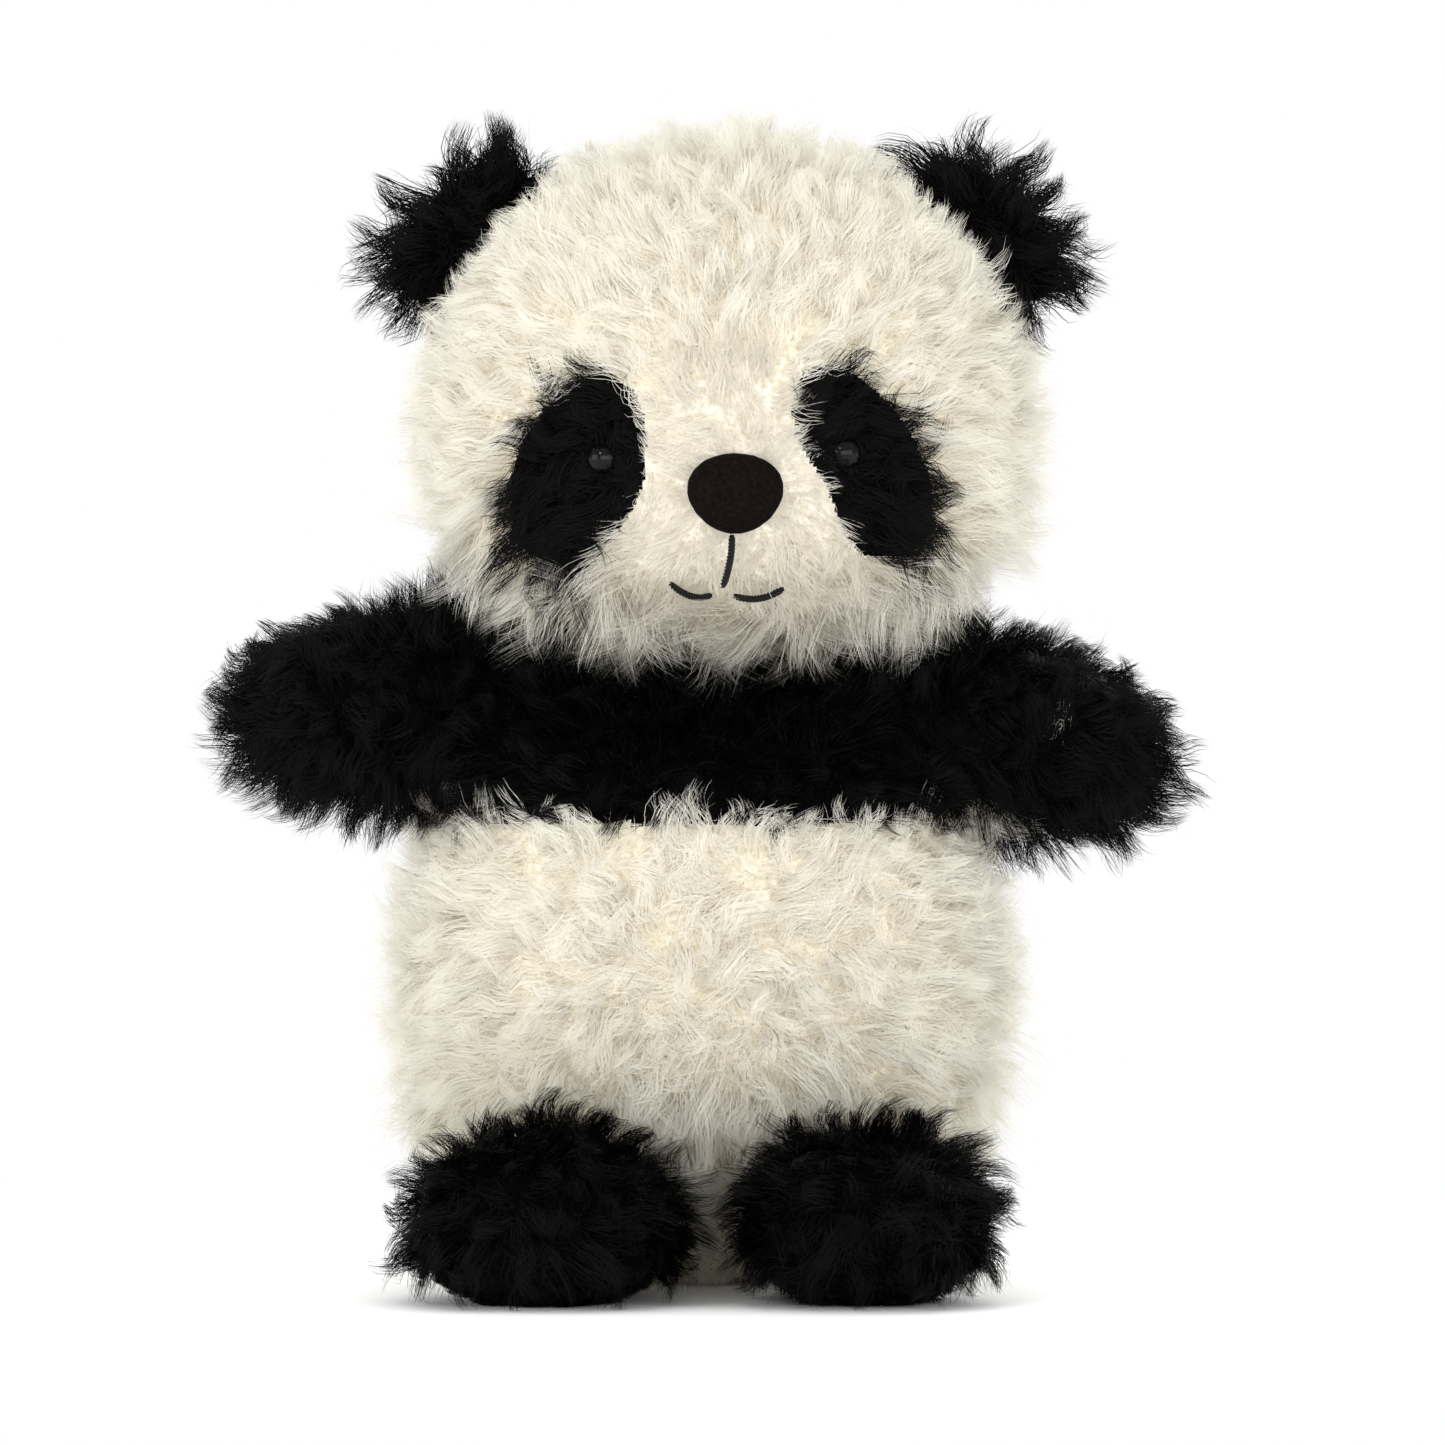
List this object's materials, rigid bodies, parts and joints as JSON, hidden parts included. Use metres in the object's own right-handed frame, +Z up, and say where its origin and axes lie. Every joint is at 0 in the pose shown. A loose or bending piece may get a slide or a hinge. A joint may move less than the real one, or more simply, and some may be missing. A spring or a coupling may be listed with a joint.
{
  "type": "plush panda",
  "caption": "Small standing plush panda sewn from shaggy cream and black fur panels, with bead eyes, felt nose, stitched mouth and jointed soft limbs.",
  "frame": {"origin": "on the floor under the middle of the toy's bounding box", "axes": "+Z up, the face looks along -Y, the toy's left arm points along +X"},
  "size_m": [0.1444, 0.1114, 0.1766],
  "materials": {
    "cream_fur": "matte",
    "white_muzzle_fur": "matte",
    "black_fur": "matte",
    "nose_felt": "matte",
    "mouth_thread": "satin",
    "seam_thread": "matte",
    "stuffing_fibre": "matte",
    "bead_bag_cotton": "matte",
    "eye_plastic": "polished",
    "washer_plastic": "satin"
  },
  "bodies": {
    "torso": {"yoke_front": "black_fur", "yoke_back": "black_fur", "belly_front": "cream_fur", "belly_back_left": "cream_fur", "belly_back_right": "cream_fur", "seat_panel": "cream_fur", "body_stuffing": "stuffing_fibre", "bead_bag": "bead_bag_cotton"},
    "neck": {"neck_seam_thread": "seam_thread"},
    "head": {"crown_panel": "cream_fur", "head_back_left": "cream_fur", "head_back_right": "cream_fur", "cheek_left": "cream_fur", "cheek_right": "cream_fur", "muzzle_panel": "white_muzzle_fur", "eye_patch_left": "black_fur", "eye_patch_right": "black_fur", "head_stuffing": "stuffing_fibre", "nose_cover": "nose_felt", "nose_padding": "stuffing_fibre", "mouth_thread_centre": "mouth_thread", "mouth_thread_left": "mouth_thread", "mouth_thread_right": "mouth_thread", "eye_left": "eye_plastic", "eye_right": "eye_plastic", "eye_washer_left": "washer_plastic", "eye_washer_right": "washer_plastic"},
    "ear_left": {"ear_left_front": "black_fur", "ear_left_back": "black_fur"},
    "ear_right": {"ear_right_front": "black_fur", "ear_right_back": "black_fur"},
    "arm_left": {"arm_left_front": "black_fur", "arm_left_back": "black_fur", "arm_left_stuffing": "stuffing_fibre"},
    "arm_right": {"arm_right_front": "black_fur", "arm_right_back": "black_fur", "arm_right_stuffing": "stuffing_fibre"},
    "foot_left": {"foot_left_upper": "black_fur", "foot_left_sole": "black_fur", "foot_left_stuffing": "stuffing_fibre"},
    "foot_right": {"foot_right_upper": "black_fur", "foot_right_sole": "black_fur", "foot_right_stuffing": "stuffing_fibre"},
    "tail": {"tail_upper": "cream_fur", "tail_lower": "cream_fur", "tail_stuffing": "stuffing_fibre"}
  },
  "joints": [
    {"name": "neck_turn", "type": "hinge", "parent": "torso", "child": "neck", "pos_m": [0.00415, 0.0063, 0.09595], "axis": [0, 0, 1], "range_deg": [-30, 30], "stiffness_Nm_per_rad": 0.6},
    {"name": "neck_nod", "type": "hinge", "parent": "neck", "child": "head", "pos_m": [0.00415, 0.0063, 0.09595], "axis": [1, 0, 0], "range_deg": [-10, 10], "stiffness_Nm_per_rad": 0.9},
    {"name": "ear_left_fold", "type": "hinge", "parent": "head", "child": "ear_left", "pos_m": [0.04509, 0.0033, 0.16361], "axis": [0.6947, 0, -0.7193], "range_deg": [-25, 25], "stiffness_Nm_per_rad": 0.01},
    {"name": "ear_right_fold", "type": "hinge", "parent": "head", "child": "ear_right", "pos_m": [-0.03679, 0.0033, 0.16361], "axis": [0.6947, 0, 0.7193], "range_deg": [-25, 25], "stiffness_Nm_per_rad": 0.01},
    {"name": "shoulder_left", "type": "hinge", "parent": "torso", "child": "arm_left", "pos_m": [0.04015, 0.0033, 0.087], "axis": [0, -1, 0], "range_deg": [-5, 45], "stiffness_Nm_per_rad": 0.06},
    {"name": "shoulder_right", "type": "hinge", "parent": "torso", "child": "arm_right", "pos_m": [-0.03985, 0.0033, 0.0905], "axis": [0, 1, 0], "range_deg": [-15, 35], "stiffness_Nm_per_rad": 0.06},
    {"name": "foot_left_flex", "type": "hinge", "parent": "torso", "child": "foot_left", "pos_m": [0.02545, -0.0197, 0.008], "axis": [1, 0, 0], "range_deg": [-8, 25], "stiffness_Nm_per_rad": 0.8},
    {"name": "foot_right_flex", "type": "hinge", "parent": "torso", "child": "foot_right", "pos_m": [-0.02355, -0.0197, 0.008], "axis": [1, 0, 0], "range_deg": [-8, 25], "stiffness_Nm_per_rad": 0.8},
    {"name": "tail_flop", "type": "hinge", "parent": "torso", "child": "tail", "pos_m": [0.00015, 0.045, 0.021], "axis": [1, 0, 0], "range_deg": [-20, 20], "stiffness_Nm_per_rad": 0.005}
  ]
}
